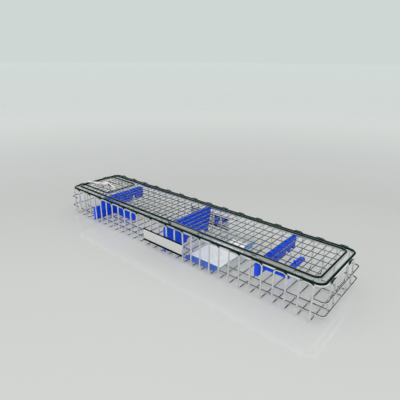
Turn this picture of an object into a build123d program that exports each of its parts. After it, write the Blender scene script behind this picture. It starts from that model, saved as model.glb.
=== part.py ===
from build123d import *
import math
import os

# Endoscope sterilization basket: a long welded wire tray with a hinged wire lid.
# Millimetres, +Z up. The origin is the middle of the floor plane that the basket stands on.
# X runs along the basket, the latch end is at -X and the hinge side is at -Y.

# Rods and wires
rim_rod = 5.0
lid_rod = 4.5
bail_rod = 3.6
loop_wire = 2.0
stay_wire = 2.0
mesh_wire = 1.1
spring_wire = 1.8
weld_gap = 0.02
bow_stub = 3.0

# Basket body
rim_length = 460.0
rim_width = 100.0
rim_corner = 9.0
rim_height = 48.8
loop_top = 48.6
loop_count = 15
loop_end_inset = 11.05
loop_bend = 5.0
long_loop_middles = (-28.5, 22.0)
long_loop_width = 15.4
stay_heights = (13.0, 29.5)
stay_corner = 5.0
stay_overhang = 2.0

# Lid
lid_inset = 8.0
lid_rise = 1.8
lid_corner = 7.0
mesh_count = 48
mesh_end_inset = 8.0
mesh_groups = 4
mesh_overhang = 1.0
lid_long_count = 5
lid_long_inset = 13.1

# Hinges
hinges_from_right = (195.0, 60.0)
hinge_length = 46.0
hinge_tube_rod = 4.0
hinge_pin_rod = 2.2
pin_clearance = 0.05
running_gap = 0.3
hinge_lug = 6.0
pin_stick_out = 1.0

# Identity plates
plate_length = 76.0
plate_bottom = 11.3
plate_height = 18.6
plate_sheet = 0.8
plate_top_hem = 1.6
plate_foot_hem = 2.2
plate_gap = 0.05

# Silicone pieces
silicone = 5.0
soft_gap = 0.3
retainer_bottom = 27.4
retainer_left_from_left = 82.0
retainer_left_far_inset = 2.0
retainer_right_from_right = 82.6
retainer_wall_gap = 1.5
retainer_rim_gap = 0.7
retainer_under_rim = 2.8
saddle_radius = 4.0
saddle_depth = 7.0
left_saddles = (18.0,)
right_saddles = (22.0, 34.5)
short_leg_from_right = 49.4
short_leg_end = 0.0
short_leg_round = 4.0
rail_sheet = 3.6
rail_bottom = 40.0
rail_under_rim = 1.4
rail_from_right = 40.0
nub_radius = 1.4
nub_head = 1.9
nub_head_height = 1.0
divider_x = 0.0
divider_wall_gap = 0.15
divider_shoulder_inset = 7.4
divider_shoulder_drop = 3.6
divider_foot_inset = 7.9
divider_arch_radius = 7.0
divider_arch_pitch = 30.0
cradle_from_left = 62.0
cradle_height = 26.2
cradle_leg_y = -11.5
cradle_leg_length = 56.0
cradle_leg_height = 20.0
cradle_round = 8.0
cradle_foot_round = 3.0

# Bail and catch
bail_side_inset = 9.8
bail_length = 67.9
bail_corner = 7.0
barrel_length = 5.0
barrel_wall = 1.0
barrel_clearance = 0.06
rest_gap = 0.05
coil_from_lid_end = 28.5
coil_radius = 2.9
coil_turns = 3
coil_turn_pitch = 3.1
catch_offset = 2.6
catch_tail = 3.0
axle_rod = 3.0
axle_lug = 7.0
axle_lug_sheet = 1.2
spring_anchor_length = 20.0
spring_anchor_foot = 7.0

# Loose contents: a card inside a clear film sleeve
card_size = (53.0, 78.0, 0.6)
sleeve_length = 75.0
sleeve_depth = 84.0
sleeve_from_divider = 26.0
sleeve_wall_gap = 3.0
sleeve_near_height = 3.0
sleeve_far_height = 22.0
sleeve_flat = 30.0
sleeve_film = 0.4
sleeve_round = 2.0
card_inset = 2.5


# Places worked out from the sizes
rim_r = rim_rod / 2
lid_r = lid_rod / 2
wire_r = loop_wire / 2
mesh_r = mesh_wire / 2
rim_x = rim_length / 2 - rim_r
rim_y = rim_width / 2 - rim_r
rim_z = rim_height - rim_r
wall_y = rim_y + rim_r + weld_gap + wire_r
end_x = rim_x + rim_r + weld_gap + wire_r
floor_z = wire_r
long_z = floor_z + loop_wire + weld_gap
floor_top = long_z + wire_r
crown_z = loop_top - wire_r
lid_x = rim_x - lid_inset
lid_y = rim_y - lid_inset
lid_z = rim_z + lid_rise
mesh_z = lid_z - lid_r - weld_gap - mesh_r
mesh_under = mesh_z - mesh_r
mesh_over = mesh_z + mesh_r
lid_long_z = mesh_over + weld_gap + mesh_r
lid_long_top = lid_long_z + mesh_r
soft_floor = floor_top + rest_gap
wall_inner = wall_y - wire_r
rim_under = rim_z - rim_r
left_end, right_end = -rim_length / 2, rim_length / 2
loop_pitch = (rim_length - 2 * loop_end_inset) / (2 * loop_count - 1)
mesh_pitch = 2 * (lid_x - mesh_end_inset) / (mesh_count - 1)
lid_long_pitch = 2 * (lid_y - lid_long_inset) / (lid_long_count - 1)
retainer_top = mesh_under - weld_gap
retainer_near = wall_inner - retainer_wall_gap
retainer_shoulder = rim_y - rim_r - retainer_rim_gap
retainer_left_x = left_end + retainer_left_from_left
retainer_right_x = right_end - retainer_right_from_right
short_leg_x = right_end - short_leg_from_right
cradle_x = left_end + cradle_from_left
bail_y = lid_y - bail_side_inset
coil_x = -lid_x + coil_from_lid_end
coil_middle_y = -lid_long_pitch / 2
catch_y = -lid_long_pitch - catch_offset
sleeve_left = divider_x + silicone + sleeve_from_divider
sleeve_near = -wall_inner + sleeve_wall_gap


def hinge_axis():
    """The hinge tube rests on the rim rod and clears the lid rod."""
    to_rim = rim_r + hinge_tube_rod / 2 + weld_gap
    to_lid = lid_r + hinge_tube_rod / 2 + running_gap
    span = math.hypot(lid_inset, lid_rise)
    along = (to_rim**2 - to_lid**2 + span**2) / (2 * span)
    above = math.sqrt(to_rim**2 - along**2)
    uy, uz = lid_inset / span, lid_rise / span
    return -rim_y + along * uy - above * uz, rim_z + along * uz + above * uy


hinge_y, hinge_z = hinge_axis()


def rod(points, diameter, bend, closed=False):
    """A round rod bent along straight runs with rounded corners."""
    path = FilletPolyline(*points, radius=bend, close=closed)
    section = Plane(origin=path @ 0, z_dir=path % 0) * Circle(diameter / 2)
    return sweep(section, path=path)


def straight(start, end, diameter):
    """A straight round wire between two points."""
    start, end = Vector(*start), Vector(*end)
    axis = end - start
    return extrude(Plane(origin=start, z_dir=axis) * Circle(diameter / 2), axis.length)


def block(low, high):
    """A box between two corners."""
    size = [b - a for a, b in zip(low, high)]
    return Pos(*low) * Box(*size, align=(Align.MIN, Align.MIN, Align.MIN))


def across(sketch, x, thickness):
    """A shape drawn in Y and Z, given a thickness along X from x."""
    return extrude(Plane(origin=(x, 0, 0), x_dir=(0, 1, 0), z_dir=(1, 0, 0)) * sketch, thickness)


def ring(name, x, y, z, diameter, corner):
    """A welded rectangular ring: two side rods butt-welded to a bent bow at each end."""
    stub = corner + bow_stub
    reach = x - stub - weld_gap
    for side, label in ((-1, "near"), (1, "far")):
        yield f"{name}_rod_{label}", straight((-reach, side * y, z), (reach, side * y, z), diameter)
    for side, label in ((-1, "left"), (1, "right")):
        inner = side * (x - stub)
        points = [(inner, -y, z), (side * x, -y, z), (side * x, y, z), (inner, y, z)]
        yield f"{name}_bow_{label}", rod(points, diameter, corner)


# Basket body
def wall_loop(u1, u2, reach, height, along_y):
    """A closed wire: two floor runs that rise up both walls and meet in a crown."""
    plan = [(u1, -reach), (u1, reach), (u2, reach), (u2, -reach)]
    levels = [(crown_z, height), (height, crown_z), (crown_z, height), (height, crown_z)]
    points = []
    for (u, v), (first, second) in zip(plan, levels):
        for z in (first, second):
            points.append((u, v, z) if along_y else (v, u, z))
    return rod(points, loop_wire, loop_bend, closed=True)


def cross_loops():
    first = -(2 * loop_count - 1) / 2 * loop_pitch
    for i in range(loop_count):
        x = first + 2 * i * loop_pitch
        yield f"cross_loop_{i + 1:02d}", wall_loop(x, x + loop_pitch, wall_y, floor_z, True)


def long_loops():
    for i, middle in enumerate(long_loop_middles):
        near = middle - long_loop_width / 2
        yield f"long_loop_{i + 1}", wall_loop(near, near + long_loop_width, end_x, long_z, False)


def end_stay(side, z):
    """A wire outside the end uprights, whose returns run inside the last uprights of both walls."""
    x = end_x + wire_r + weld_gap + stay_wire / 2
    y = wall_y - wire_r - weld_gap - stay_wire / 2
    last = (2 * loop_count - 1) / 2 * loop_pitch - stay_overhang
    points = [(side * last, -y, z), (side * x, -y, z), (side * x, y, z), (side * last, y, z)]
    return rod(points, stay_wire, stay_corner)


def identity_plate(side):
    """A bare sheet plate with rolled hems, on the outside of a long wall."""
    inner = side * (wall_y + wire_r + plate_gap)
    outer = inner + side * plate_sheet
    top = plate_bottom + plate_height
    web = Pos((inner + outer) / 2, (plate_bottom + top) / 2) * Rectangle(plate_sheet, plate_height)
    web += Pos(inner + side * plate_top_hem / 2, top - plate_top_hem / 2) * Circle(plate_top_hem / 2)
    foot_r = plate_foot_hem / 2
    web += Pos(inner + side * foot_r, plate_bottom + foot_r) * Circle(foot_r)
    return across(web, -plate_length / 2, plate_length)


def hinge_tube(x):
    section = Circle(hinge_tube_rod / 2) - Circle(hinge_pin_rod / 2 + pin_clearance)
    return across(Pos(hinge_y, hinge_z) * section, x - hinge_length / 2, hinge_length)


# Lid
def lid_cross_wires(group):
    per_group = mesh_count // mesh_groups
    reach = lid_y + mesh_overhang
    wires = []
    for i in range(group * per_group, (group + 1) * per_group):
        x = (i - (mesh_count - 1) / 2) * mesh_pitch
        wires.append(straight((x, -reach, mesh_z), (x, reach, mesh_z), mesh_wire))
    return Compound(children=wires)


def lid_long_wire(i):
    y = (i - (lid_long_count - 1) / 2) * lid_long_pitch
    reach = lid_x - lid_r - weld_gap
    return straight((-reach, y, lid_long_z), (reach, y, lid_long_z), mesh_wire)


def hinge_pin(x):
    """A pin welded to the lid rod by a lug at its left end."""
    tube_left = x - hinge_length / 2
    lug_right = tube_left - running_gap
    lug_left = lug_right - hinge_lug
    pin_right = x + hinge_length / 2 + pin_stick_out
    pin = straight((lug_left, hinge_y, hinge_z), (pin_right, hinge_y, hinge_z), hinge_pin_rod)
    reach = math.hypot(-lid_y - hinge_y, lid_z - hinge_z)
    angle = math.degrees(math.atan2(lid_z - hinge_z, -lid_y - hinge_y))
    arm = Rot(0, 0, angle) * Pos(reach / 2, 0) * Rectangle(reach, hinge_pin_rod)
    lid_section = Pos(-lid_y - hinge_y, lid_z - hinge_z) * Circle(lid_r + weld_gap)
    lug = Pos(hinge_y, hinge_z) * (Circle(hinge_pin_rod / 2) + arm - lid_section)
    return pin + across(lug, lug_left, hinge_lug)


# Silicone pieces
def swing_reach(z):
    """How far a piece under the lid may reach at a height to pass the far rim rod as the lid opens."""
    swing = rim_y - rim_r - soft_gap - hinge_y
    return math.sqrt(swing**2 - (hinge_z - z) ** 2) + hinge_y - soft_gap


def retainer_profile(bottom, far_low, far_high, saddles=()):
    """A hanging bar seen along X: a shouldered near end, a far end and saddles that open downwards."""
    outline = [
        (-retainer_near, bottom),
        (far_low, bottom),
        (far_high, retainer_top),
        (-retainer_shoulder, retainer_top),
        (-retainer_shoulder, rim_under - retainer_under_rim),
        (-retainer_near, rim_under - retainer_under_rim),
    ]
    face = make_face(Polyline(*outline, close=True))
    upright = saddle_depth - saddle_radius
    for y in saddles:
        face -= Pos(y, bottom + upright) * Circle(saddle_radius)
        face -= Pos(y, bottom + upright / 2) * Rectangle(2 * saddle_radius, upright)
    return face


def nub(x, y):
    """A button that is pushed through the lid mesh and holds a retainer there."""
    head_z = mesh_over + weld_gap
    stem = straight((x, y, retainer_top - mesh_wire), (x, y, head_z), 2 * nub_radius)
    head = straight((x, y, head_z), (x, y, head_z + nub_head_height), 2 * nub_head)
    return stem + head


def nub_places():
    """Middles of the gaps beside the outer long wires of the lid."""
    half = (lid_long_count - 1) / 2 * lid_long_pitch
    return -half + lid_long_pitch / 2, half - lid_long_pitch / 2


def nub_x(x):
    """The middle of the nearest gap in the lid mesh, kept within a retainer that starts at x."""
    gap = round((x + silicone / 2) / mesh_pitch) * mesh_pitch
    return min(max(gap, x + nub_radius), x + silicone - nub_radius)


def retainer_left():
    far = lid_y - retainer_left_far_inset
    profile = retainer_profile(retainer_bottom, far, far, left_saddles)
    shape = across(profile, retainer_left_x, silicone)
    for y in nub_places():
        shape += nub(nub_x(retainer_left_x), y)
    return shape


def retainer_right():
    """A U in plan: a full bar, a low rail along the near wall and a short leg as low as the rail."""
    far_low, far_high = swing_reach(retainer_bottom), swing_reach(retainer_top)
    profile = retainer_profile(retainer_bottom, far_low, far_high, right_saddles)
    shape = across(profile, retainer_right_x, silicone)
    rail_low = (retainer_right_x, -retainer_near, rail_bottom)
    rail_high = (right_end - rail_from_right, -retainer_near + rail_sheet, rim_under - rail_under_rim)
    shape += block(rail_low, rail_high)
    leg = retainer_profile(rail_bottom, short_leg_end, short_leg_end)
    tip = leg.vertices().sort_by_distance((short_leg_end, retainer_top))[0]
    shape += across(fillet(tip, short_leg_round), short_leg_x, silicone)
    for y in nub_places():
        shape += nub(nub_x(retainer_right_x), y)
    return shape + nub(nub_x(short_leg_x), nub_places()[0])


def divider():
    """A full cross wall whose feet stand on the floor wires."""
    wall = wall_inner - divider_wall_gap
    top = mesh_under - soft_gap
    shoulder = wall - divider_shoulder_inset
    outline = [
        (-wall, soft_floor),
        (wall - divider_foot_inset, soft_floor),
        (wall, top - divider_shoulder_drop),
        (shoulder, top),
        (-shoulder, top),
        (-wall, top - divider_shoulder_drop),
    ]
    face = make_face(Polyline(*outline, close=True))
    for y in (-divider_arch_pitch, 0, divider_arch_pitch):
        face -= Pos(y, soft_floor) * Circle(divider_arch_radius)
    return across(face, divider_x, silicone)


def cradle():
    """An L-shaped floor support: a cross leg at the near wall and a long leg."""
    wall = wall_inner - divider_wall_gap
    leg_back = cradle_leg_y + silicone
    leg_end = cradle_x + cradle_leg_length
    cross_leg = block((cradle_x, -wall, soft_floor), (cradle_x + silicone, leg_back, cradle_height))
    outline = [
        (cradle_x, soft_floor),
        (leg_end, soft_floor),
        (leg_end, cradle_leg_height),
        (cradle_x, cradle_leg_height),
    ]
    face = make_face(Polyline(*outline, close=True))
    for z, radius in ((cradle_leg_height, cradle_round), (soft_floor, cradle_foot_round)):
        corner = face.vertices().sort_by_distance((leg_end, z))[0]
        face = fillet(corner, radius)
    plane = Plane(origin=(0, leg_back, 0), x_dir=(1, 0, 0), z_dir=(0, -1, 0))
    return cross_leg + extrude(plane * face, silicone)


# Bail and catch
def bail():
    """A U-shaped finger loop that turns on the lid frame's left end rod."""
    z = lid_long_top + rest_gap + bail_rod / 2
    barrel_r = lid_r + barrel_clearance + barrel_wall
    start = -lid_x + lid_r + barrel_clearance
    reach = -lid_x + bail_length
    points = [(start, -bail_y, z), (reach, -bail_y, z), (reach, bail_y, z), (start, bail_y, z)]
    shape = rod(points, bail_rod, bail_corner)
    bore = Part()
    for y in (-bail_y, bail_y):
        ends = [(-lid_x, y - barrel_length / 2, lid_z), (-lid_x, y + barrel_length / 2, lid_z)]
        shape += straight(*ends, 2 * barrel_r)
        bore += straight(*ends, 2 * (lid_r + barrel_clearance))
    return shape - bore


def coil_z():
    return mesh_over + rest_gap + spring_wire / 2 + coil_radius


def coil_ends():
    """The Y of the coil's near end and far end."""
    half = coil_turns * coil_turn_pitch / 2
    return coil_middle_y - half, coil_middle_y + half


def spring_axle():
    """A short axle in two lugs, which stand on the lid mesh just outside the coil's two long wires."""
    near, far = -lid_long_pitch - mesh_r - running_gap, mesh_r + running_gap
    low = mesh_over + rest_gap
    high = coil_z() + axle_rod
    shape = straight((coil_x, near, coil_z()), (coil_x, far, coil_z()), axle_rod)
    for y in (near - axle_lug_sheet, far):
        low_corner = (coil_x - axle_lug / 2, y, low)
        high_corner = (coil_x + axle_lug / 2, y + axle_lug_sheet, high)
        shape += block(low_corner, high_corner)
    return shape


def catch_spring():
    """A torsion spring: a coil, an anchor leg in the lid mesh and a hook over the left rim rod."""
    near, far = coil_ends()
    z = coil_z()
    helix = Helix(pitch=coil_turn_pitch, height=coil_turns * coil_turn_pitch, radius=coil_radius)
    turned = Plane(origin=(coil_x, near, z), x_dir=(0, 0, 1), z_dir=(0, 1, 0)) * helix
    start, end = turned @ 0, turned @ 1
    coil = sweep(Plane(origin=start, z_dir=turned % 0) * Circle(spring_wire / 2), path=turned, is_frenet=True)
    wrap = rim_r + spring_wire / 2 + rest_gap
    over = rim_z + wrap
    hook = [
        (coil_x, near, start.Z),
        (-lid_x + lid_rod, catch_y, start.Z),
        (-rim_x, catch_y, over),
        (-rim_x - wrap, catch_y, over),
        (-rim_x - wrap, catch_y, rim_z - wrap),
        (-rim_x + catch_tail, catch_y, rim_z - wrap),
    ]
    hook_rod = rod(hook, spring_wire, spring_wire)
    low = mesh_under - rest_gap - spring_wire / 2
    anchor_x = coil_x + spring_anchor_length
    anchor = [
        (coil_x, far, end.Z),
        (anchor_x, far, mesh_over + rest_gap + spring_wire / 2),
        (anchor_x, far, low),
        (anchor_x + spring_anchor_foot, far, low),
    ]
    return coil, hook_rod, rod(anchor, spring_wire, spring_wire)


# Loose contents
def leaflet():
    low = (sleeve_left + card_inset, sleeve_near + card_inset, soft_floor + sleeve_film + rest_gap)
    return block(low, [a + b for a, b in zip(low, card_size)])


def sleeve():
    """A film sleeve, open at both ends, flat at the near wall and bulging towards the far wall."""
    far = sleeve_near + sleeve_depth
    outline = [
        (sleeve_near, soft_floor),
        (far, soft_floor),
        (far, soft_floor + sleeve_far_height),
        (far - sleeve_flat, soft_floor + sleeve_far_height),
        (sleeve_near, soft_floor + sleeve_near_height),
    ]
    face = make_face(Polyline(*outline, close=True))
    face = fillet(face.vertices().sort_by(Axis.X)[2:], sleeve_round)
    return across(face - offset(face, -sleeve_film), sleeve_left, sleeve_length)


def pieces():
    yield from ring("rim", rim_x, rim_y, rim_z, rim_rod, rim_corner)
    yield from cross_loops()
    yield from long_loops()
    for name, side in (("left", -1), ("right", 1)):
        for level, z in zip(("lower", "upper"), stay_heights):
            yield f"end_stay_{name}_{level}", end_stay(side, z)
    yield "id_plate_near", identity_plate(-1)
    yield "id_plate_far", identity_plate(1)
    for i, from_right in enumerate(hinges_from_right):
        x = right_end - from_right
        yield f"hinge_tube_{i + 1}", hinge_tube(x)
        yield f"hinge_pin_{i + 1}", hinge_pin(x)
    yield from ring("lid", lid_x, lid_y, lid_z, lid_rod, lid_corner)
    for group in range(mesh_groups):
        yield f"lid_cross_wires_{group + 1}", lid_cross_wires(group)
    for i in range(lid_long_count):
        yield f"lid_long_wire_{i + 1}", lid_long_wire(i)
    yield "retainer_left", retainer_left()
    yield "retainer_right", retainer_right()
    yield "divider", divider()
    yield "cradle", cradle()
    yield "bail", bail()
    yield "spring_axle", spring_axle()
    yield "catch_spring", Compound(children=list(catch_spring()))
    yield "leaflet", leaflet()
    yield "clear_sleeve", sleeve()


os.makedirs("parts", exist_ok=True)
for node, shape in pieces():
    export_step(shape, f"parts/{node}.step")
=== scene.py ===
"""Looks of an endoscope sterilization basket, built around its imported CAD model."""

import math

import bmesh
import bpy
from mathutils import Matrix, Vector, noise


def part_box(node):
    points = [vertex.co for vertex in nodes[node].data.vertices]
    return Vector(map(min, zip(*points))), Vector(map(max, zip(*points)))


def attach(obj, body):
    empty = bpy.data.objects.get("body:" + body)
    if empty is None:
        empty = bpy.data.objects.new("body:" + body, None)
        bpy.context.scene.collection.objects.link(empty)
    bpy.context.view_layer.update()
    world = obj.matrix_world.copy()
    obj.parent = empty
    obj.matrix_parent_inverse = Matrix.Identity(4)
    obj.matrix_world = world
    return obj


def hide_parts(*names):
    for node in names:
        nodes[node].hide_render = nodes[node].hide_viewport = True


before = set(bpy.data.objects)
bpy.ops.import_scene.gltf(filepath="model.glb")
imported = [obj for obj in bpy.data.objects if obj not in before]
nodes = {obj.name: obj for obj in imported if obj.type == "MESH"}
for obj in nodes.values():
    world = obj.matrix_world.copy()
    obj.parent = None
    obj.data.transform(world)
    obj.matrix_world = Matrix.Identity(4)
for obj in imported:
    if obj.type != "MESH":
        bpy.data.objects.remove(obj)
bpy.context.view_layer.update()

MM = 0.001

# Rods and wires, as in the part's source
rim_rod_r = 2.5 * MM
wire_r = 1.0 * MM
mesh_r = 0.55 * MM
lid_wires_in_node = 12

# Catch wire, with its coil, hook end and anchor foot as in the part's source
spring_r = 0.9 * MM
spring_facets = 6
spring_gap = 0.05 * MM
coil_r = 2.9 * MM
coil_turns = 3
coil_pitch = 3.1 * MM
coil_lead = 2.0 * MM
coil_steps_per_turn = 20
hook_end = 3.0 * MM
hook_leg = 16.0 * MM
hook_bend = 2.2 * MM
anchor_foot = 7.0 * MM
anchor_rise = 1.5 * MM
anchor_bend = 1.8 * MM

# Weld beads
basket_bead_r = 0.85 * MM
basket_bead_seed = 3
lid_bead_r = 0.5 * MM
lid_bead_seed = 5
bead_variation = 0.15

# Silicone pieces
silicone_edge = 0.7 * MM

# Identity plates, with dark bands of painted shade along their top and foot edges
top_shade_band = 1.6 * MM
foot_shade_band = 2.6 * MM
shade_band_fade = 0.2 * MM

# Film sleeve, with the near and far corners of its label and its tape
film_thickness = 0.15 * MM
section_points = 150
sleeve_rows = 90
film_inset = 1.2 * MM
film_lift = 0.5 * MM
sleeve_flat = 30.0 * MM
sleeve_lip = 3.0 * MM
sleeve_bend = 3.0 * MM
crumple_depth = 1.6 * MM
crumple_rise = 0.4 * MM
folds_per_m = 38
ripples_per_m = 95
creases_per_m = 60
fold_share = 0.9
ripple_share = 0.5
crease_share = 1.4
ripple_shift = Vector((7, 3, 1))
crease_shift = Vector((1, 9, 4))
underside = -0.5
label_near = (74.0 * MM, 3.0 * MM)
label_far = (98.0 * MM, 13.0 * MM)
tape_near = (98.6 * MM, 2.0 * MM)
tape_far = (106.0 * MM, 24.0 * MM)
label_fade = 0.4 * MM

# Card
card_thickness = 0.35 * MM
card_band = 12.0 * MM
band_fade = 0.3 * MM

# Noise, and the spans of it that a finish draws on
noise_roughness = 0.55
noise_all = (0.3, 0.7)
noise_most = (0.35, 0.7)
noise_middle = (0.35, 0.65)
noise_upper = (0.4, 0.65)
noise_peaks = (0.6, 0.75)

# Camera, at the photograph's viewpoint
camera_place = Vector((333.2, -361.0, 257.1)) * MM
camera_yaw = math.radians(-40.586)
camera_dip = math.radians(21.097)
camera_roll = math.radians(0.425)
camera_lens = 32.763
camera_sensor = 36.0
camera_near = 10.0 * MM

# Room, floor and dark screens
facing = (math.sin(camera_yaw), math.cos(camera_yaw), 0.0)
facing_span = (0.25, 0.7)
behind_colour = (1.0, 1.01, 1.0)
ahead_colour = (0.62, 0.68, 0.66)
floor_reach = 30.0
floor_colour = (0.42, 0.422, 0.418)
floor_glow = (0.19, 0.191, 0.188)
screen_colour = (0.004, 0.026, 0.016)
screen_distance = 20.0
screen_columns = 72
screen_rings = 12
canopy_span = (0.145, 0.32)
side_direction = (-0.906, -0.423, 0.0)
side_span = (0.71, 0.92)
side_foot_span = (0.02, 0.09)


def named(*starts):
    """The CAD nodes whose names start so, in order."""
    return sorted(name for name in nodes if name.startswith(starts))


cross_loops = named("cross_loop")
long_loops = named("long_loop")
stays = named("end_stay")
lid_cross = named("lid_cross_wires")
lid_long = named("lid_long_wire")
rods = named("rim_", "lid_rod", "lid_bow", "hinge_pin")
hinges = named("hinge_tube")
plates = ["id_plate_near", "id_plate_far"]
silicone = ["divider", "cradle", "retainer_left", "retainer_right"]


def place_camera():
    """Turns the camera by its yaw, dips it below the horizon and rolls it about its line of sight."""
    forward = Vector((
        math.sin(camera_yaw) * math.cos(camera_dip),
        math.cos(camera_yaw) * math.cos(camera_dip),
        -math.sin(camera_dip),
    ))
    level = Vector((math.cos(camera_yaw), -math.sin(camera_yaw), 0))
    above = level.cross(forward)
    right = level * math.cos(camera_roll) + above * math.sin(camera_roll)
    up = above * math.cos(camera_roll) - level * math.sin(camera_roll)
    data = bpy.data.cameras.new("camera")
    data.sensor_width = camera_sensor
    data.lens = camera_lens
    data.clip_start = camera_near
    camera = bpy.data.objects.new("camera", data)
    turn = Matrix((right, up, -forward)).transposed().to_4x4()
    camera.matrix_world = Matrix.Translation(camera_place) @ turn
    bpy.context.collection.objects.link(camera)
    bpy.context.scene.camera = camera


# Node tools
class NodeTree:
    """Short ways to add nodes to a tree."""

    # Sockets of a Mix node that holds colours
    colour_inputs = (6, 7)
    colour_output = 2

    def __init__(self, tree):
        self.tree = tree

    def node(self, kind, inputs=None, **settings):
        """A new node with its settings made, and its inputs linked or set."""
        made = self.tree.nodes.new(kind)
        for key, value in settings.items():
            setattr(made, key, value)
        for key, value in (inputs or {}).items():
            if isinstance(value, bpy.types.NodeSocket):
                self.tree.links.new(value, made.inputs[key])
            else:
                made.inputs[key].default_value = value
        return made

    def calculate(self, operation, first, second):
        """One sum on two values."""
        made = self.node("ShaderNodeMath", {0: first, 1: second}, operation=operation)
        return made.outputs[0]

    def share_along(self, vector, direction):
        """How much of a vector points in a direction."""
        made = self.node("ShaderNodeVectorMath", {0: vector, 1: direction}, operation="DOT_PRODUCT")
        return made.outputs["Value"]

    def coordinate(self, vector, axis):
        """A vector's X, Y or Z."""
        return self.node("ShaderNodeSeparateXYZ", {"Vector": vector}).outputs[axis]

    def mix(self, factor, first, second):
        """A colour between two others."""
        made = self.node("ShaderNodeMix", {0: factor}, data_type="RGBA")
        for index, colour in zip(self.colour_inputs, (first, second)):
            if isinstance(colour, bpy.types.NodeSocket):
                self.tree.links.new(colour, made.inputs[index])
            else:
                made.inputs[index].default_value = (*colour, 1.0)
        return made.outputs[self.colour_output]


class Shader(NodeTree):
    """A material with one Principled shader, and short ways to give it a pattern."""

    def __init__(self, name, **values):
        self.material = bpy.data.materials.new(name)
        self.material.use_nodes = True
        super().__init__(self.material.node_tree)
        self.shader = self.tree.nodes["Principled BSDF"]
        for key, value in values.items():
            socket = self.shader.inputs[key.replace("_", " ")]
            socket.default_value = (*value, 1.0) if isinstance(value, tuple) else value

    def link(self, output, socket):
        """Feeds one of the shader's own sockets."""
        self.tree.links.new(output, self.shader.inputs[socket])

    def object_coordinates(self, scale=(1, 1, 1)):
        """The place on the object, stretched by a scale."""
        place = self.node("ShaderNodeTexCoord").outputs["Object"]
        return self.node("ShaderNodeMapping", {"Vector": place, "Scale": scale}).outputs["Vector"]

    def noise(self, vector, scale, detail=4.0):
        """Cloudy noise, from about 0.3 to 0.75."""
        inputs = {"Vector": vector, "Scale": scale, "Detail": detail, "Roughness": noise_roughness}
        return self.node("ShaderNodeTexNoise", inputs).outputs["Fac"]

    def remap(self, value, span, low, high):
        """A span of the value drawn out from low to high, and held there past its ends."""
        inputs = {
            "Value": value,
            "From Min": span[0],
            "From Max": span[1],
            "To Min": low,
            "To Max": high,
        }
        return self.node("ShaderNodeMapRange", inputs).outputs["Result"]

    def within(self, value, low, high, fade):
        """1 where the value lies between two limits, fading out past them."""
        rise = self.remap(value, (low - fade, low), low=0.0, high=1.0)
        fall = self.remap(value, (high, high + fade), low=1.0, high=0.0)
        return self.calculate("MULTIPLY", rise, fall)

    def patch(self, place, near, far, fade, above):
        """1 in a rectangle seen from above, on what lies above a height."""
        along = self.within(self.coordinate(place, "X"), near[0], far[0], fade)
        across = self.within(self.coordinate(place, "Y"), near[1], far[1], fade)
        rectangle = self.calculate("MULTIPLY", along, across)
        on_top = self.calculate("GREATER_THAN", self.coordinate(place, "Z"), above)
        return self.calculate("MULTIPLY", rectangle, on_top)

    def bump(self, height, strength, distance):
        """Roughens the surface by a pattern."""
        inputs = {"Height": height, "Strength": strength, "Distance": distance}
        self.link(self.node("ShaderNodeBump", inputs).outputs["Normal"], "Normal")


def darker(tint, share):
    """A tint with each of its values cut to a share."""
    return tuple(share * value for value in tint)


# Finishes
def polished_steel(name, tint, smooth, rough):
    """Electropolished stainless rod: mirror bright, with faint smudges and dull specks."""
    made = Shader(name, Metallic=1.0)
    place = made.object_coordinates()
    smudges = made.noise(place, scale=60.0)
    specks = made.noise(place, scale=900.0, detail=2.0)
    polish = made.remap(smudges, noise_most, low=smooth, high=rough)
    dulling = made.remap(specks, noise_peaks, low=0.0, high=0.12)
    made.link(made.calculate("ADD", polish, dulling), "Roughness")
    shade = made.remap(smudges, noise_upper, low=0.0, high=1.0)
    made.link(made.mix(shade, tint, darker(tint, share=0.9)), "Base Color")
    made.bump(specks, strength=0.08, distance=0.05 * MM)
    return made.material


def satin_steel(name, tint, metallic):
    """Finely ground steel that scatters the light of the room; with no metallic share, as on the catch
    wire, its pale tint is a painted glint.
    """
    made = Shader(name, Metallic=metallic)
    ground = made.noise(made.object_coordinates((1, 14, 14)), scale=420.0, detail=3.0)
    made.link(made.remap(ground, noise_all, low=0.28, high=0.42), "Roughness")
    shade = made.remap(ground, noise_middle, low=0.0, high=1.0)
    made.link(made.mix(shade, tint, darker(tint, share=0.85)), "Base Color")
    made.bump(ground, strength=0.1, distance=0.05 * MM)
    return made.material


def mirror_sheet(name, low, high):
    """Bright sheet with the slight waviness of a thin plate, and dark bands of painted shade along its
    top and foot edges.
    """
    painted_edge_shade = (0.012, 0.016, 0.014)
    web_tint = (0.99, 0.99, 0.985)
    made = Shader(name, Metallic=1.0)
    place = made.object_coordinates()
    # Painted shade: dark bands along the top and foot edges stand in for the shade and dark reflection
    # there.
    web = made.within(made.coordinate(place, "Z"), low + foot_shade_band, high - top_shade_band, shade_band_fade)
    made.link(made.mix(web, painted_edge_shade, web_tint), "Base Color")
    brushed = made.noise(made.object_coordinates((4, 4, 400)), scale=30.0, detail=3.0)
    made.link(made.remap(brushed, noise_all, low=0.05, high=0.13), "Roughness")
    made.bump(made.noise(place, scale=25.0, detail=1.0), strength=0.25, distance=0.4 * MM)
    return made.material


def blue_silicone(name):
    """Moulded silicone: even blue, a soft sheen and a fine matt grain."""
    deep_blue = (0.0015, 0.066, 0.78)
    light_blue = (0.003, 0.085, 0.88)
    made = Shader(name, Specular_IOR_Level=0.22)
    place = made.object_coordinates()
    cloud = made.noise(place, scale=35.0)
    grain = made.noise(place, scale=1400.0, detail=2.0)
    shade = made.remap(cloud, noise_all, low=0.0, high=1.0)
    made.link(made.mix(shade, deep_blue, light_blue), "Base Color")
    made.link(made.remap(grain, noise_all, low=0.34, high=0.48), "Roughness")
    made.bump(grain, strength=0.2, distance=0.08 * MM)
    return made.material


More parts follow.
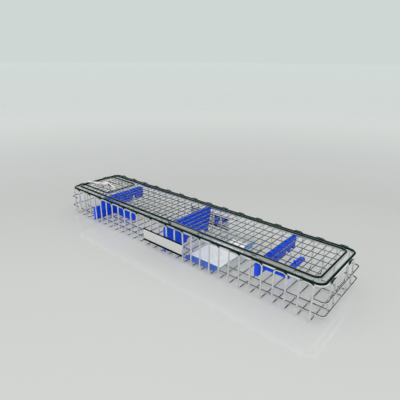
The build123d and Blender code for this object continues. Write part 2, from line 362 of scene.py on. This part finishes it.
def clear_film(name, half_height):
    """Thin clear film, a little hazy, with a bare white label and a blue tape on its top."""
    film_grey = (0.34, 0.42, 0.46)
    label_white = (0.95, 0.95, 0.95)
    tape_blue = (0.06, 0.28, 0.80)
    label_cover = 0.9
    tape_cover = 0.6
    made = Shader(name, IOR=1.45, Specular_IOR_Level=0.5)
    place = made.object_coordinates()
    label = made.patch(place, label_near, label_far, label_fade, half_height)
    tape = made.patch(place, tape_near, tape_far, label_fade, half_height)
    labelled = made.mix(label, film_grey, label_white)
    made.link(made.mix(tape, labelled, tape_blue), "Base Color")
    haze = made.remap(made.noise(place, scale=45.0), noise_most, low=0.04, high=0.12)
    for patch, cover in ((label, label_cover), (tape, tape_cover)):
        haze = made.calculate("MAXIMUM", haze, made.calculate("MULTIPLY", patch, cover))
    made.link(haze, "Alpha")
    scuffs = made.noise(place, scale=60.0)
    made.link(made.remap(scuffs, noise_most, low=0.03, high=0.1), "Roughness")
    ripples = made.noise(place, scale=160.0, detail=3.0)
    made.bump(ripples, strength=0.15, distance=0.4 * MM)
    return made.material


def banded_card(name, near_edge):
    """Coated white card with a plain blue band along its near edge; the paper outside the band glows a
    little, painted light that brightens it.
    """
    paper_grey = (0.88, 0.89, 0.91)
    paper_white = (0.93, 0.94, 0.95)
    painted_paper_light = (0.10, 0.10, 0.10)
    band_blue = (0.015, 0.11, 0.62)
    no_glow = (0.0, 0.0, 0.0)
    made = Shader(name, Specular_IOR_Level=0.4, Emission_Strength=1.0)
    place = made.object_coordinates()
    band_edge = near_edge + card_band
    band_span = (band_edge, band_edge + band_fade)
    band = made.remap(made.coordinate(place, "Y"), band_span, low=1.0, high=0.0)
    fibre = made.noise(place, scale=700.0)
    paper = made.mix(made.remap(fibre, noise_all, low=0.0, high=1.0), paper_grey, paper_white)
    made.link(made.mix(band, paper, band_blue), "Base Color")
    # Painted light: the paper outside the band glows faintly to brighten it.
    made.link(made.mix(band, painted_paper_light, no_glow), "Emission Color")
    made.link(made.remap(fibre, noise_all, low=0.3, high=0.42), "Roughness")
    made.bump(fibre, strength=0.1, distance=0.05 * MM)
    return made.material


# Ways to make and dress a piece
def dress(name, material):
    """Gives a CAD node its material."""
    mesh = nodes[name].data
    mesh.materials.clear()
    mesh.materials.append(material)


def link_mesh(name, mesh, material):
    """A new piece from a finished mesh."""
    made = bpy.data.objects.new(name, mesh)
    bpy.context.collection.objects.link(made)
    mesh.materials.clear()
    mesh.materials.append(material)
    return made


def plain_mesh(name, source):
    """What a curve or a node tree makes, as a plain mesh; the source is removed."""
    bpy.context.collection.objects.link(source)
    shape = source.evaluated_get(bpy.context.evaluated_depsgraph_get())
    mesh = bpy.data.meshes.new_from_object(shape)
    bpy.data.objects.remove(source)
    mesh.name = name
    return mesh


def skin(name, rows, closed):
    """A mesh over rows of points, where a closed one joins each row's last point to its first."""
    shape = bmesh.new()
    grid = [[shape.verts.new(place) for place in row] for row in rows]
    for first, second in zip(grid, grid[1:]):
        rungs = list(zip(first, second))
        ahead = rungs[1:] + rungs[:1] if closed else rungs[1:]
        for (a, b), (c, d) in zip(rungs, ahead):
            shape.faces.new((a, c, d, b))
    if closed:
        bmesh.ops.recalc_face_normals(shape, faces=shape.faces)
    mesh = bpy.data.meshes.new(name)
    shape.to_mesh(mesh)
    shape.free()
    return mesh


def thicken(piece, thickness, side):
    """Gives a sheet its thickness, outwards for a side of 1 and inwards for -1."""
    shell = piece.modifiers.new("thickness", "SOLIDIFY")
    shell.thickness = thickness
    shell.offset = side


def rounded(points, radius, steps=8):
    """The points with each inner corner turned into an arc."""
    path = [points[0]]
    for before, corner, after in zip(points, points[1:], points[2:]):
        to_before = (before - corner).normalized()
        to_after = (after - corner).normalized()
        half = to_before.angle(to_after) / 2
        back = min(radius / math.tan(half), (before - corner).length / 2, (after - corner).length / 2)
        start = corner + to_before * back
        end = corner + to_after * back
        centre = corner + (to_before + to_after).normalized() * (back / math.cos(half))
        for i in range(steps + 1):
            spoke = (start - centre).lerp(end - centre, i / steps).normalized()
            path.append(centre + spoke * (start - centre).length)
    return path + [points[-1]]


def resampled(points, count):
    """Evenly spaced points along a closed outline."""
    closed = points + [points[0]]
    lengths = [(b - a).length for a, b in zip(closed, closed[1:])]
    total = sum(lengths)
    made = []
    for i in range(count):
        rest = total * i / count
        for a, b, length in zip(closed, closed[1:], lengths):
            if rest <= length:
                made.append(a.lerp(b, rest / length if length else 0))
                break
            rest -= length
    return made


# Silicone pieces
def softened(name, material):
    """The CAD solid with its moulded edges rounded over."""
    touching = 0.002 * MM
    flat_angle = math.radians(1)
    edge_angle = math.radians(40)
    crease_angle = math.radians(35)
    shape = bmesh.new()
    shape.from_mesh(nodes[name].data)
    bmesh.ops.remove_doubles(shape, verts=shape.verts, dist=touching)
    bmesh.ops.dissolve_limit(shape, angle_limit=flat_angle, verts=shape.verts, edges=shape.edges)
    edges = [edge for edge in shape.edges if edge.is_manifold and edge.calc_face_angle(0) > edge_angle]
    bmesh.ops.bevel(
        shape,
        geom=edges,
        offset=silicone_edge,
        segments=3,
        profile=0.5,
        affect="EDGES",
        clamp_overlap=True,
    )
    bmesh.ops.triangulate(shape, faces=shape.faces)
    mesh = bpy.data.meshes.new(name + "_soft")
    shape.to_mesh(mesh)
    shape.free()
    mesh.shade_smooth()
    mesh.set_sharp_from_angle(angle=crease_angle)
    made = link_mesh(name + "_soft", mesh, material)
    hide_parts(name)
    return made


# Catch wire
def round_wire(name, path, radius, material):
    """A round wire along a path."""
    data = bpy.data.curves.new(name, "CURVE")
    data.dimensions = "3D"
    data.bevel_depth = radius
    data.bevel_resolution = spring_facets
    data.use_fill_caps = True
    line = data.splines.new("POLY")
    line.points.add(len(path) - 1)
    for point, place in zip(line.points, path):
        point.co = (*place, 1.0)
    mesh = plain_mesh(name, bpy.data.objects.new(name, data))
    mesh.shade_smooth()
    return link_mesh(name, mesh, material)


def catch_spring(material):
    """One springy wire: hook, leg, coil and anchor, where the CAD solids are."""
    axle_low, axle_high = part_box("spring_axle")
    low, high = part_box("catch_spring")
    rim_low, rim_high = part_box("rim_bow_left")
    mesh_low, mesh_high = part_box(lid_cross[0])

    coil_x = (axle_low.x + axle_high.x) / 2
    coil_z = high.z - spring_r - coil_r
    coil_top = coil_z + coil_r
    coil_middle = (axle_low.y + axle_high.y) / 2
    coil_near = coil_middle - coil_turns * coil_pitch / 2
    coil_far = coil_middle + coil_turns * coil_pitch / 2
    steps = coil_steps_per_turn * coil_turns
    coil = []
    for i in range(steps + 1):
        turn = 2 * math.pi * coil_turns * i / steps
        x = coil_x + coil_r * math.sin(turn)
        y = coil_near + (coil_far - coil_near) * i / steps
        z = coil_z + coil_r * math.cos(turn)
        coil.append(Vector((x, y, z)))

    hook_y = low.y + spring_r
    rim_x = rim_low.x + rim_rod_r
    rim_z = (rim_low.z + rim_high.z) / 2
    wrap = rim_rod_r + spring_r + spring_gap
    hook = [
        Vector((rim_x + hook_end, hook_y, rim_z - wrap)),
        Vector((rim_x - wrap, hook_y, rim_z - wrap)),
        Vector((rim_x - wrap, hook_y, rim_z + wrap)),
        Vector((rim_x + wrap, hook_y, rim_z + wrap)),
        Vector((coil_x - hook_leg, hook_y, coil_top)),
        Vector((coil_x - coil_lead, coil_near, coil_top)),
    ]

    foot_x = high.x - spring_r
    under_mesh = mesh_low.z - spring_r - spring_gap
    anchor = [
        Vector((coil_x + coil_lead, coil_far, coil_top)),
        Vector((foot_x - anchor_foot, coil_far, mesh_high.z + anchor_rise)),
        Vector((foot_x - anchor_foot, coil_far, under_mesh)),
        Vector((foot_x, coil_far, under_mesh)),
    ]

    path = rounded(hook, hook_bend) + coil[1:-1] + rounded(anchor, anchor_bend)
    made = round_wire("catch_spring_wire", path, spring_r, material)
    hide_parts("catch_spring")
    return made


# Weld beads
def bead_tree():
    """A Geometry Nodes tree that puts a small bead on each point, each of its own size."""
    # Sockets of a Random Value node that draws one number
    least_socket = 2
    most_socket = 3
    drawn_socket = 1
    group = bpy.data.node_groups.new("weld_beads", "GeometryNodeTree")
    inputs = (
        ("Geometry", "NodeSocketGeometry"),
        ("Bead radius", "NodeSocketFloat"),
        ("Variation", "NodeSocketFloat"),
        ("Seed", "NodeSocketInt"),
        ("Material", "NodeSocketMaterial"),
    )
    for name, kind in inputs:
        group.interface.new_socket(name, in_out="INPUT", socket_type=kind)
    group.interface.new_socket("Geometry", in_out="OUTPUT", socket_type="NodeSocketGeometry")

    tree = NodeTree(group)
    given = tree.node("NodeGroupInput").outputs
    ball_inputs = {"Segments": 8, "Rings": 5, "Radius": given["Bead radius"]}
    ball = tree.node("GeometryNodeMeshUVSphere", ball_inputs).outputs["Mesh"]
    smallest = tree.calculate("SUBTRACT", 1.0, given["Variation"])
    largest = tree.calculate("ADD", 1.0, given["Variation"])
    size_inputs = {least_socket: smallest, most_socket: largest, "Seed": given["Seed"]}
    size = tree.node("FunctionNodeRandomValue", size_inputs, data_type="FLOAT").outputs[drawn_socket]
    bead_inputs = {"Points": given["Geometry"], "Instance": ball, "Scale": size}
    beads = tree.node("GeometryNodeInstanceOnPoints", bead_inputs).outputs["Instances"]
    joined = tree.node("GeometryNodeRealizeInstances", {"Geometry": beads}).outputs["Geometry"]
    smooth = tree.node("GeometryNodeSetShadeSmooth", {"Geometry": joined}).outputs["Geometry"]
    finish_inputs = {"Geometry": smooth, "Material": given["Material"]}
    finished = tree.node("GeometryNodeSetMaterial", finish_inputs).outputs["Geometry"]
    tree.node("NodeGroupOutput", {"Geometry": finished})
    return group


def weld_beads(name, points, group, radius, seed, material):
    """A bead on each point, kept as one plain mesh."""
    values = {"Bead radius": radius, "Variation": bead_variation, "Seed": seed, "Material": material}
    cloud = bpy.data.meshes.new(name + "_points")
    cloud.from_pydata(points, [], [])
    source = bpy.data.objects.new(name + "_points", cloud)
    modifier = source.modifiers.new("nodes", "NODES")
    modifier.node_group = group
    for item in group.interface.items_tree:
        if item.in_out == "INPUT" and item.name in values:
            modifier[item.identifier] = values[item.name]
    return link_mesh(name, plain_mesh(name, source), material)


def middles(names, axis):
    """Where the two parallel runs of each loop lie along an axis."""
    found = []
    for name in names:
        low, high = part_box(name)
        found += [low[axis] + wire_r, high[axis] - wire_r]
    return found


def basket_welds():
    """Where the floor wires cross, the uprights meet the rim and the stays meet the long loops."""
    xs = middles(cross_loops, 0)
    ys = middles(long_loops, 1)
    crossing_z = 2 * wire_r
    points = [(x, y, crossing_z) for x in xs for y in ys]
    rim_low, rim_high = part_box("rim_rod_far")
    rim_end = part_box("rim_bow_right")[1].x
    rim_z = (rim_low.z + rim_high.z) / 2
    for side in (-1, 1):
        points += [(x, side * rim_high.y, rim_z) for x in xs]
        points += [(side * rim_end, y, rim_z) for y in ys]
    for name in stays:
        low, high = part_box(name)
        stay_z = (low.z + high.z) / 2
        reach = max(abs(low.x), abs(high.x)) - 2 * wire_r
        side = math.copysign(1, low.x)
        points += [(side * reach, y, stay_z) for y in ys]
    return points


def lid_welds():
    """Where the lid's cross wires meet its rods and its long wires."""
    points = []
    rod_low, rod_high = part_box("lid_rod_far")
    rod_y = (rod_low.y + rod_high.y) / 2
    for name in lid_cross:
        low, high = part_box(name)
        step = (high.x - low.x - 2 * mesh_r) / (lid_wires_in_node - 1)
        for i in range(lid_wires_in_node):
            x = low.x + mesh_r + i * step
            points += [(x, side * rod_y, high.z) for side in (-1, 1)]
            for wire in lid_long:
                wire_low, wire_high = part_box(wire)
                points.append((x, (wire_low.y + wire_high.y) / 2, high.z))
    return points


# Loose contents
def crumple(here, outward):
    """How far the film stands out at a point: folds, ripples and sharp creases over a flat underside."""
    if outward.z < underside:
        return 0
    fold = noise.noise(here * folds_per_m)
    ripple = noise.noise(here * ripples_per_m + ripple_shift)
    crease = abs(noise.noise(here * creases_per_m + crease_shift))
    depth = fold_share * (fold + ripple_share * ripple) - crease_share * crease
    return min(depth * crumple_depth, crumple_rise)


def clear_sleeve(material):
    """A creased film sleeve: flat at the near wall, bulging towards the far wall, open at both ends."""
    low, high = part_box("clear_sleeve")
    near = low.y + film_inset
    far = high.y - film_inset
    bottom = low.z + film_lift
    top = high.z - film_inset
    outline = [
        Vector((0, near, bottom)),
        Vector((0, far, bottom)),
        Vector((0, far, top)),
        Vector((0, high.y - sleeve_flat, top)),
        Vector((0, near, low.z + sleeve_lip)),
    ]
    around = rounded([outline[-1]] + outline + [outline[0]], sleeve_bend, steps=6)[1:-1]
    section = resampled(around, section_points)
    length = high.x - low.x - 2 * film_inset
    grid = []
    for i in range(sleeve_rows + 1):
        x = low.x + film_inset + length * i / sleeve_rows
        ring = []
        for j, place in enumerate(section):
            along = section[(j + 1) % len(section)] - section[j - 1]
            outward = Vector((0, along.z, -along.y)).normalized()
            here = Vector((x, place.y, place.z))
            ring.append(here + outward * crumple(here, outward))
        grid.append(ring)
    mesh = skin("clear_sleeve_film", grid, closed=True)
    mesh.shade_smooth()
    made = link_mesh("clear_sleeve_film", mesh, material)
    thicken(made, film_thickness, side=-1)
    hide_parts("clear_sleeve")
    return made


def leaflet(material):
    """The card in the sleeve."""
    low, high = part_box("leaflet")
    steps = 24
    across = [low.x + (high.x - low.x) * i / steps for i in range(steps + 1)]
    along = [low.y + (high.y - low.y) * i / steps for i in range(steps + 1)]
    mesh = skin("leaflet_card", [[(x, y, low.z) for x in across] for y in along], closed=False)
    mesh.shade_smooth()
    made = link_mesh("leaflet_card", mesh, material)
    thicken(made, card_thickness, side=1)
    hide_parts("leaflet")
    return made


# Studio
def room():
    """Pale walls, brightest behind the camera."""
    world = bpy.data.worlds.new("room")
    bpy.context.scene.world = world
    world.use_nodes = True
    walls = NodeTree(world.node_tree)
    direction = walls.node("ShaderNodeTexCoord").outputs["Generated"]
    ahead = walls.share_along(direction, facing)
    fade_inputs = {"Value": ahead, "From Min": facing_span[0], "From Max": facing_span[1]}
    fade = walls.node("ShaderNodeMapRange", fade_inputs, interpolation_type="SMOOTHSTEP")
    colour = walls.mix(fade.outputs["Result"], behind_colour, ahead_colour)
    walls.tree.links.new(colour, walls.tree.nodes["Background"].inputs["Color"])


def screen_cloth():
    """Dark cloth, solid overhead and at one side, that thins out to nothing in between."""
    cloth = Shader("dark_screen", Base_Color=screen_colour, Roughness=1.0, Specular_IOR_Level=0.0)
    unit = 1 / screen_distance
    towards = cloth.object_coordinates((unit, unit, unit))
    height = cloth.coordinate(towards, "Z")
    sideways = cloth.share_along(towards, side_direction)
    canopy = cloth.remap(height, canopy_span, low=0.0, high=1.0)
    side = cloth.remap(sideways, side_span, low=0.0, high=1.0)
    off_floor = cloth.remap(height, side_foot_span, low=0.0, high=1.0)
    raised_side = cloth.calculate("MULTIPLY", side, off_floor)
    cloth.link(cloth.calculate("MAXIMUM", canopy, raised_side), "Alpha")
    return cloth.material


def dark_screens():
    """A dark canopy and side screen, far off and soft at the edge, that only polished metal shows."""
    rings = []
    for i in range(screen_rings + 1):
        rise = math.pi / 2 * i / screen_rings
        radius = screen_distance * math.cos(rise)
        height = screen_distance * math.sin(rise)
        turns = [2 * math.pi * j / screen_columns for j in range(screen_columns)]
        rings.append([(radius * math.cos(turn), radius * math.sin(turn), height) for turn in turns])
    mesh = skin("dark_screens", rings, closed=True)
    mesh.materials.append(screen_cloth())
    made = bpy.data.objects.new("dark_screens", mesh)
    bpy.context.collection.objects.link(made)
    made.visible_camera = False
    made.visible_diffuse = False
    made.visible_transmission = False
    made.visible_shadow = False
    return made


def glossy_floor():
    """A pale table top under a clear coat."""
    mesh = bpy.data.meshes.new("floor")
    corners = [
        (-floor_reach, -floor_reach, 0),
        (floor_reach, -floor_reach, 0),
        (floor_reach, floor_reach, 0),
        (-floor_reach, floor_reach, 0),
    ]
    mesh.from_pydata(corners, [], [(0, 1, 2, 3)])
    table = Shader(
        "floor",
        Base_Color=floor_colour,
        Roughness=0.5,
        Specular_IOR_Level=0.0,
        Coat_Weight=1.0,
        Coat_Roughness=0.04,
        Coat_IOR=1.6,
        Emission_Color=floor_glow,
        Emission_Strength=1.0,
    )
    mesh.materials.append(table.material)
    made = bpy.data.objects.new("floor", mesh)
    bpy.context.collection.objects.link(made)
    return made


def lamp(name, kind, place, power, **settings):
    """A lamp that shines at the basket and isn't itself seen, also not in the polished metal."""
    data = bpy.data.lights.new(name, kind)
    data.energy = power
    for key, value in settings.items():
        setattr(data, key, value)
    made = bpy.data.objects.new(name, data)
    made.location = place
    made.rotation_euler = (-Vector(place)).to_track_quat("-Z", "Y").to_euler()
    made.visible_glossy = False
    made.visible_camera = False
    bpy.context.collection.objects.link(made)


def studio():
    """The floor, the screens, the room and its lamps."""
    glossy_floor()
    dark_screens()
    room()
    lamp("dome", "SUN", place=(0.1, -0.1, 1.0), power=0.25, angle=math.radians(150))
    lamp("key", "SUN", place=(0.6, -0.9, 1.3), power=0.7, angle=math.radians(40))
    lamp(
        "window",
        "AREA",
        place=(-1.1, -1.45, 0.42),
        power=5,
        shape="RECTANGLE",
        size=1.2,
        size_y=0.75,
    )


place_camera()
studio()

# Materials
plate_low, plate_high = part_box("id_plate_near")
sleeve_low, sleeve_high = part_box("clear_sleeve")
card_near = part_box("leaflet")[0].y
rod_steel = polished_steel("polished_rod", tint=(0.90, 0.91, 0.91), smooth=0.03, rough=0.08)
wire_steel = polished_steel("bright_wire", tint=(0.92, 0.92, 0.91), smooth=0.04, rough=0.10)
mesh_steel = polished_steel("mesh_wire", tint=(0.72, 0.75, 0.74), smooth=0.04, rough=0.10)
ground_steel = satin_steel("ground_steel", tint=(0.80, 0.81, 0.81), metallic=0.7)
# Painted glint: the catch wire is a pale pinkish non-metal that stands in for the bright reflections on
# its coil.
spring_steel = satin_steel("spring_steel", tint=(0.98, 0.93, 0.91), metallic=0.0)
plate_steel = mirror_sheet("plate_sheet", low=plate_low.z, high=plate_high.z)
blue = blue_silicone("blue_silicone")
film = clear_film("clear_film", half_height=(sleeve_low.z + sleeve_high.z) / 2)
card = banded_card("card", near_edge=card_near)

# Metal that keeps its CAD shape
for node in rods + ["bail", "spring_axle"]:
    dress(node, rod_steel)
for node in hinges:
    dress(node, ground_steel)
for node in cross_loops + long_loops + stays:
    dress(node, wire_steel)
for node in lid_cross + lid_long:
    dress(node, mesh_steel)
for node in plates:
    dress(node, plate_steel)

# Silicone pieces
for node in silicone:
    piece = softened(node, blue)
    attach(piece, "lid" if node.startswith("retainer") else "basket")

# Welds
beads = bead_tree()
basket_beads = weld_beads(
    "basket_weld_beads",
    basket_welds(),
    beads,
    radius=basket_bead_r,
    seed=basket_bead_seed,
    material=wire_steel,
)
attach(basket_beads, "basket")
lid_beads = weld_beads(
    "lid_weld_beads",
    lid_welds(),
    beads,
    radius=lid_bead_r,
    seed=lid_bead_seed,
    material=mesh_steel,
)
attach(lid_beads, "lid")

# Catch wire and loose contents
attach(catch_spring(spring_steel), "lid")
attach(clear_sleeve(film), "basket")
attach(leaflet(card), "basket")

bpy.context.scene.view_settings.view_transform = "Standard"
